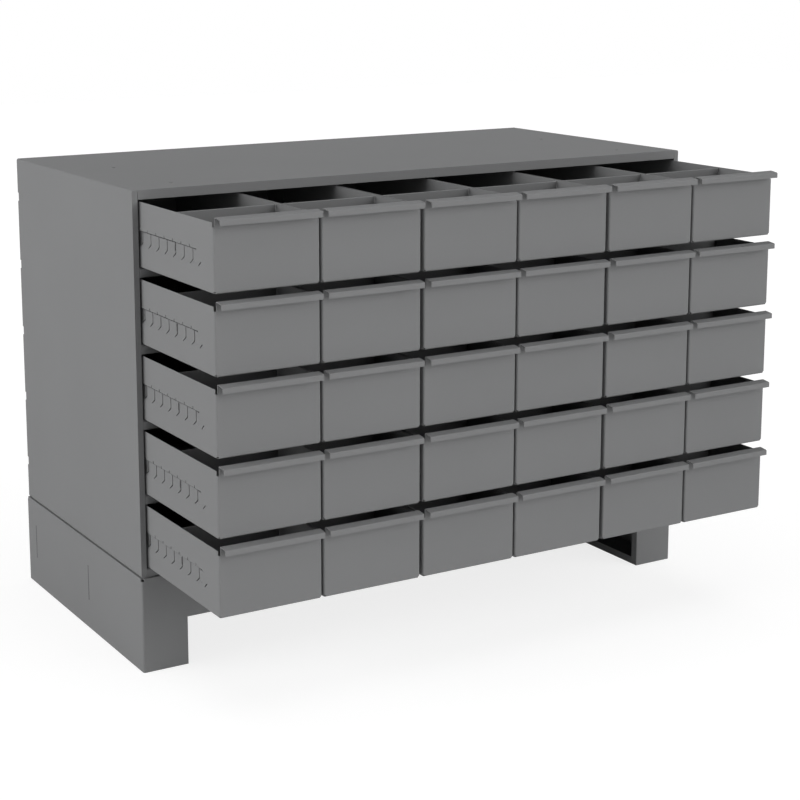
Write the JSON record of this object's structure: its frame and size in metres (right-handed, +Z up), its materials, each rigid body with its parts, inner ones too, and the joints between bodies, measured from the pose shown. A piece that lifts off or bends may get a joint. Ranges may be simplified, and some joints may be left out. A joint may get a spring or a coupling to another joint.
{
  "type": "parts drawer cabinet",
  "caption": "Steel cabinet with rows of open pull-out bins for small parts, each with a lip handle and a cross divider, on a footed base.",
  "frame": {"origin": "on the floor under the middle of the whole, with the drawers half out as pictured", "axes": "+X to the right seen from the front, +Y to the back, +Z up; the drawers pull out towards -Y"},
  "size_m": [0.918, 0.6712, 0.6606],
  "materials": {
    "cabinet_paint": "satin",
    "base_paint": "satin",
    "drawer_paint": "satin"
  },
  "bodies": {
    "cabinet": {"cabinet_shell": "cabinet_paint", "back_panel": "cabinet_paint", "shelf_1": "cabinet_paint", "shelf_2": "cabinet_paint", "shelf_3": "cabinet_paint", "shelf_4": "cabinet_paint", "cabinet_floor": "cabinet_paint", "partition_r1_1": "cabinet_paint", "partition_r1_2": "cabinet_paint", "partition_r2_1": "cabinet_paint", "partition_r2_2": "cabinet_paint", "partition_r3_1": "cabinet_paint", "partition_r3_2": "cabinet_paint", "partition_r4_1": "cabinet_paint", "partition_r4_2": "cabinet_paint", "partition_r5_1": "cabinet_paint", "partition_r5_2": "cabinet_paint", "base_frame": "base_paint", "base_brace_1": "base_paint", "base_brace_2": "base_paint"},
    "drawer_r1_c1": {"drawer_r1_c1": "drawer_paint"},
    "drawer_r1_c2": {"drawer_r1_c2": "drawer_paint"},
    "drawer_r1_c3": {"drawer_r1_c3": "drawer_paint"},
    "drawer_r1_c4": {"drawer_r1_c4": "drawer_paint"},
    "drawer_r1_c5": {"drawer_r1_c5": "drawer_paint"},
    "drawer_r1_c6": {"drawer_r1_c6": "drawer_paint"},
    "drawer_r2_c1": {"drawer_r2_c1": "drawer_paint"},
    "drawer_r2_c2": {"drawer_r2_c2": "drawer_paint"},
    "drawer_r2_c3": {"drawer_r2_c3": "drawer_paint"},
    "drawer_r2_c4": {"drawer_r2_c4": "drawer_paint"},
    "drawer_r2_c5": {"drawer_r2_c5": "drawer_paint"},
    "drawer_r2_c6": {"drawer_r2_c6": "drawer_paint"},
    "drawer_r3_c1": {"drawer_r3_c1": "drawer_paint"},
    "drawer_r3_c2": {"drawer_r3_c2": "drawer_paint"},
    "drawer_r3_c3": {"drawer_r3_c3": "drawer_paint"},
    "drawer_r3_c4": {"drawer_r3_c4": "drawer_paint"},
    "drawer_r3_c5": {"drawer_r3_c5": "drawer_paint"},
    "drawer_r3_c6": {"drawer_r3_c6": "drawer_paint"},
    "drawer_r4_c1": {"drawer_r4_c1": "drawer_paint"},
    "drawer_r4_c2": {"drawer_r4_c2": "drawer_paint"},
    "drawer_r4_c3": {"drawer_r4_c3": "drawer_paint"},
    "drawer_r4_c4": {"drawer_r4_c4": "drawer_paint"},
    "drawer_r4_c5": {"drawer_r4_c5": "drawer_paint"},
    "drawer_r4_c6": {"drawer_r4_c6": "drawer_paint"},
    "drawer_r5_c1": {"drawer_r5_c1": "drawer_paint"},
    "drawer_r5_c2": {"drawer_r5_c2": "drawer_paint"},
    "drawer_r5_c3": {"drawer_r5_c3": "drawer_paint"},
    "drawer_r5_c4": {"drawer_r5_c4": "drawer_paint"},
    "drawer_r5_c5": {"drawer_r5_c5": "drawer_paint"},
    "drawer_r5_c6": {"drawer_r5_c6": "drawer_paint"}
  },
  "joints": [
    {"name": "drawer_r1_c1_slide", "type": "slide", "parent": "cabinet", "child": "drawer_r1_c1", "axis": [0, -1, 0], "range_m": [-0.2174, 0.165]},
    {"name": "drawer_r1_c2_slide", "type": "slide", "parent": "cabinet", "child": "drawer_r1_c2", "axis": [0, -1, 0], "range_m": [-0.2174, 0.165]},
    {"name": "drawer_r1_c3_slide", "type": "slide", "parent": "cabinet", "child": "drawer_r1_c3", "axis": [0, -1, 0], "range_m": [-0.2174, 0.165]},
    {"name": "drawer_r1_c4_slide", "type": "slide", "parent": "cabinet", "child": "drawer_r1_c4", "axis": [0, -1, 0], "range_m": [-0.2174, 0.165]},
    {"name": "drawer_r1_c5_slide", "type": "slide", "parent": "cabinet", "child": "drawer_r1_c5", "axis": [0, -1, 0], "range_m": [-0.2174, 0.165]},
    {"name": "drawer_r1_c6_slide", "type": "slide", "parent": "cabinet", "child": "drawer_r1_c6", "axis": [0, -1, 0], "range_m": [-0.2174, 0.165]},
    {"name": "drawer_r2_c1_slide", "type": "slide", "parent": "cabinet", "child": "drawer_r2_c1", "axis": [0, -1, 0], "range_m": [-0.2174, 0.165]},
    {"name": "drawer_r2_c2_slide", "type": "slide", "parent": "cabinet", "child": "drawer_r2_c2", "axis": [0, -1, 0], "range_m": [-0.2174, 0.165]},
    {"name": "drawer_r2_c3_slide", "type": "slide", "parent": "cabinet", "child": "drawer_r2_c3", "axis": [0, -1, 0], "range_m": [-0.2174, 0.165]},
    {"name": "drawer_r2_c4_slide", "type": "slide", "parent": "cabinet", "child": "drawer_r2_c4", "axis": [0, -1, 0], "range_m": [-0.2174, 0.165]},
    {"name": "drawer_r2_c5_slide", "type": "slide", "parent": "cabinet", "child": "drawer_r2_c5", "axis": [0, -1, 0], "range_m": [-0.2174, 0.165]},
    {"name": "drawer_r2_c6_slide", "type": "slide", "parent": "cabinet", "child": "drawer_r2_c6", "axis": [0, -1, 0], "range_m": [-0.2174, 0.165]},
    {"name": "drawer_r3_c1_slide", "type": "slide", "parent": "cabinet", "child": "drawer_r3_c1", "axis": [0, -1, 0], "range_m": [-0.2174, 0.165]},
    {"name": "drawer_r3_c2_slide", "type": "slide", "parent": "cabinet", "child": "drawer_r3_c2", "axis": [0, -1, 0], "range_m": [-0.2174, 0.165]},
    {"name": "drawer_r3_c3_slide", "type": "slide", "parent": "cabinet", "child": "drawer_r3_c3", "axis": [0, -1, 0], "range_m": [-0.2174, 0.165]},
    {"name": "drawer_r3_c4_slide", "type": "slide", "parent": "cabinet", "child": "drawer_r3_c4", "axis": [0, -1, 0], "range_m": [-0.2174, 0.165]},
    {"name": "drawer_r3_c5_slide", "type": "slide", "parent": "cabinet", "child": "drawer_r3_c5", "axis": [0, -1, 0], "range_m": [-0.2174, 0.165]},
    {"name": "drawer_r3_c6_slide", "type": "slide", "parent": "cabinet", "child": "drawer_r3_c6", "axis": [0, -1, 0], "range_m": [-0.2174, 0.165]},
    {"name": "drawer_r4_c1_slide", "type": "slide", "parent": "cabinet", "child": "drawer_r4_c1", "axis": [0, -1, 0], "range_m": [-0.2174, 0.165]},
    {"name": "drawer_r4_c2_slide", "type": "slide", "parent": "cabinet", "child": "drawer_r4_c2", "axis": [0, -1, 0], "range_m": [-0.2174, 0.165]},
    {"name": "drawer_r4_c3_slide", "type": "slide", "parent": "cabinet", "child": "drawer_r4_c3", "axis": [0, -1, 0], "range_m": [-0.2174, 0.165]},
    {"name": "drawer_r4_c4_slide", "type": "slide", "parent": "cabinet", "child": "drawer_r4_c4", "axis": [0, -1, 0], "range_m": [-0.2174, 0.165]},
    {"name": "drawer_r4_c5_slide", "type": "slide", "parent": "cabinet", "child": "drawer_r4_c5", "axis": [0, -1, 0], "range_m": [-0.2174, 0.165]},
    {"name": "drawer_r4_c6_slide", "type": "slide", "parent": "cabinet", "child": "drawer_r4_c6", "axis": [0, -1, 0], "range_m": [-0.2174, 0.165]},
    {"name": "drawer_r5_c1_slide", "type": "slide", "parent": "cabinet", "child": "drawer_r5_c1", "axis": [0, -1, 0], "range_m": [-0.2174, 0.165]},
    {"name": "drawer_r5_c2_slide", "type": "slide", "parent": "cabinet", "child": "drawer_r5_c2", "axis": [0, -1, 0], "range_m": [-0.2174, 0.165]},
    {"name": "drawer_r5_c3_slide", "type": "slide", "parent": "cabinet", "child": "drawer_r5_c3", "axis": [0, -1, 0], "range_m": [-0.2174, 0.165]},
    {"name": "drawer_r5_c4_slide", "type": "slide", "parent": "cabinet", "child": "drawer_r5_c4", "axis": [0, -1, 0], "range_m": [-0.2174, 0.165]},
    {"name": "drawer_r5_c5_slide", "type": "slide", "parent": "cabinet", "child": "drawer_r5_c5", "axis": [0, -1, 0], "range_m": [-0.2174, 0.165]},
    {"name": "drawer_r5_c6_slide", "type": "slide", "parent": "cabinet", "child": "drawer_r5_c6", "axis": [0, -1, 0], "range_m": [-0.2174, 0.165]}
  ]
}
